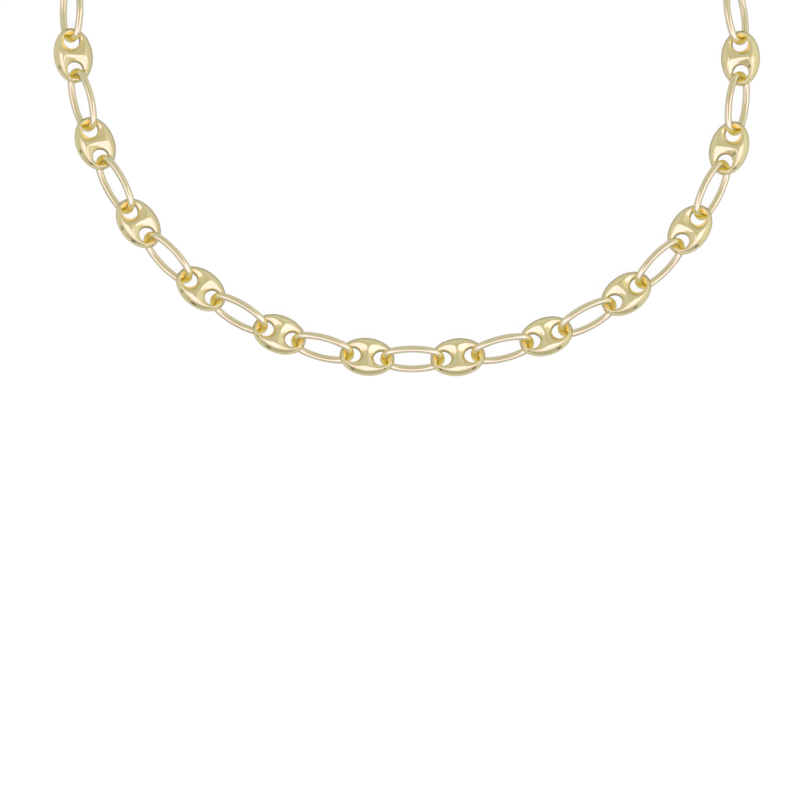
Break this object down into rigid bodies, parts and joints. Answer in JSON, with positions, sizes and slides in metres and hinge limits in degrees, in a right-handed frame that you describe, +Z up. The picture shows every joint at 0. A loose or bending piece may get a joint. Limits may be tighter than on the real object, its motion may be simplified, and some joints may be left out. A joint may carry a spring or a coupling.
{
  "type": "coffee bean chain necklace",
  "caption": "Closed necklace chain of puffed oval beans with round holes, joined by long oval wire links and a plain clasp, laid flat as a whole loop.",
  "frame": {"origin": "middle of the whole chain's box, at the height of the floor it lies on", "axes": "+Z up from the floor; +Y along the floor to the clasp, up in the picture; +X to the right"},
  "size_m": [0.1483, 0.1496, 0.0067],
  "materials": {
    "bean_metal": "high polish, yellow gold tone",
    "link_metal": "high polish, yellow gold tone",
    "clasp_metal": "polish, yellow gold tone"
  },
  "bodies": {
    "root": {"bean_01": "bean_metal", "bean_02": "bean_metal", "bean_03": "bean_metal", "bean_04": "bean_metal", "bean_05": "bean_metal", "bean_06": "bean_metal", "bean_07": "bean_metal", "bean_08": "bean_metal", "bean_09": "bean_metal", "bean_10": "bean_metal", "bean_11": "bean_metal", "bean_12": "bean_metal", "bean_13": "bean_metal", "bean_14": "bean_metal", "bean_15": "bean_metal", "bean_16": "bean_metal", "bean_17": "bean_metal", "bean_18": "bean_metal", "bean_19": "bean_metal", "bean_20": "bean_metal", "bean_21": "bean_metal", "bean_22": "bean_metal", "link_01": "link_metal", "link_02": "link_metal", "link_03": "link_metal", "link_04": "link_metal", "link_05": "link_metal", "link_06": "link_metal", "link_07": "link_metal", "link_08": "link_metal", "link_09": "link_metal", "link_10": "link_metal", "link_11": "link_metal", "link_12": "link_metal", "link_13": "link_metal", "link_14": "link_metal", "link_15": "link_metal", "link_16": "link_metal", "link_17": "link_metal", "link_18": "link_metal", "link_19": "link_metal", "link_20": "link_metal", "link_21": "link_metal", "link_22": "link_metal", "link_23": "link_metal", "clasp": "clasp_metal"}
  },
  "joints": []
}
